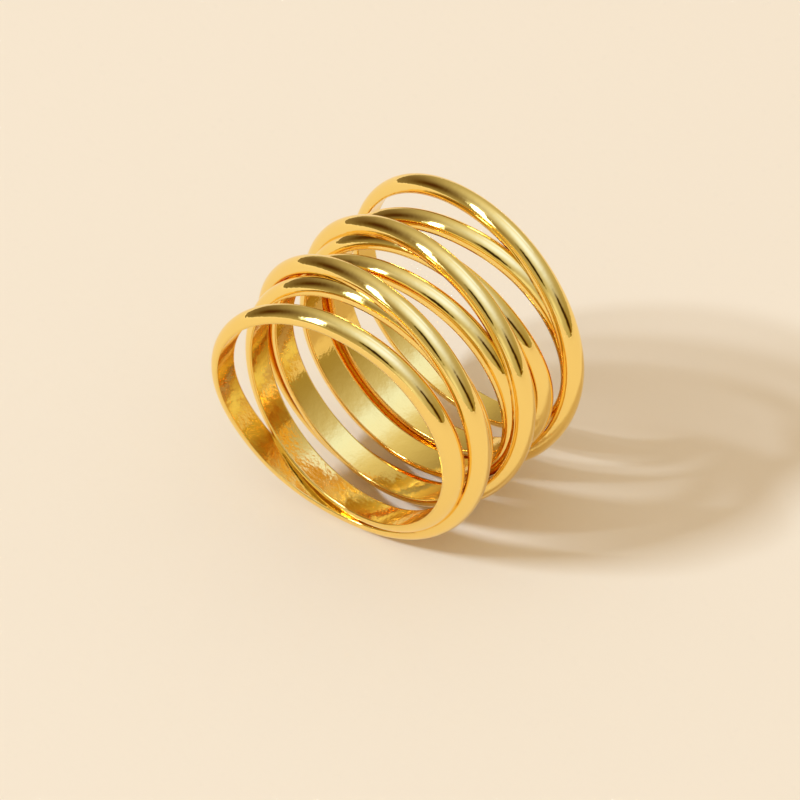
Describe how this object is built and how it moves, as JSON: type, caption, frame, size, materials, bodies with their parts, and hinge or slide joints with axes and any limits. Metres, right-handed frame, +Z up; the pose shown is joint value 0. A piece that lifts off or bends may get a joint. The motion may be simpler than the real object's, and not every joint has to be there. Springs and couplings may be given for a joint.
{
  "type": "spiral ring",
  "caption": "Wide open finger ring of one endless half-round gold wire, wound side by side in an under layer and back over it in a slanting over layer.",
  "frame": {"origin": "middle of the ring's box, on the floor under it", "axes": "+Z up from the floor, +Y along the finger towards the back of the ring, -Y the front rim that the picture looks into"},
  "size_m": [0.0224, 0.0194, 0.0223],
  "materials": {
    "polished_gold": "high polish yellow gold plate, only lightly polished and slightly wavy on the flat inside"
  },
  "bodies": {
    "root": {"spiral_wire": "polished_gold"}
  },
  "joints": []
}
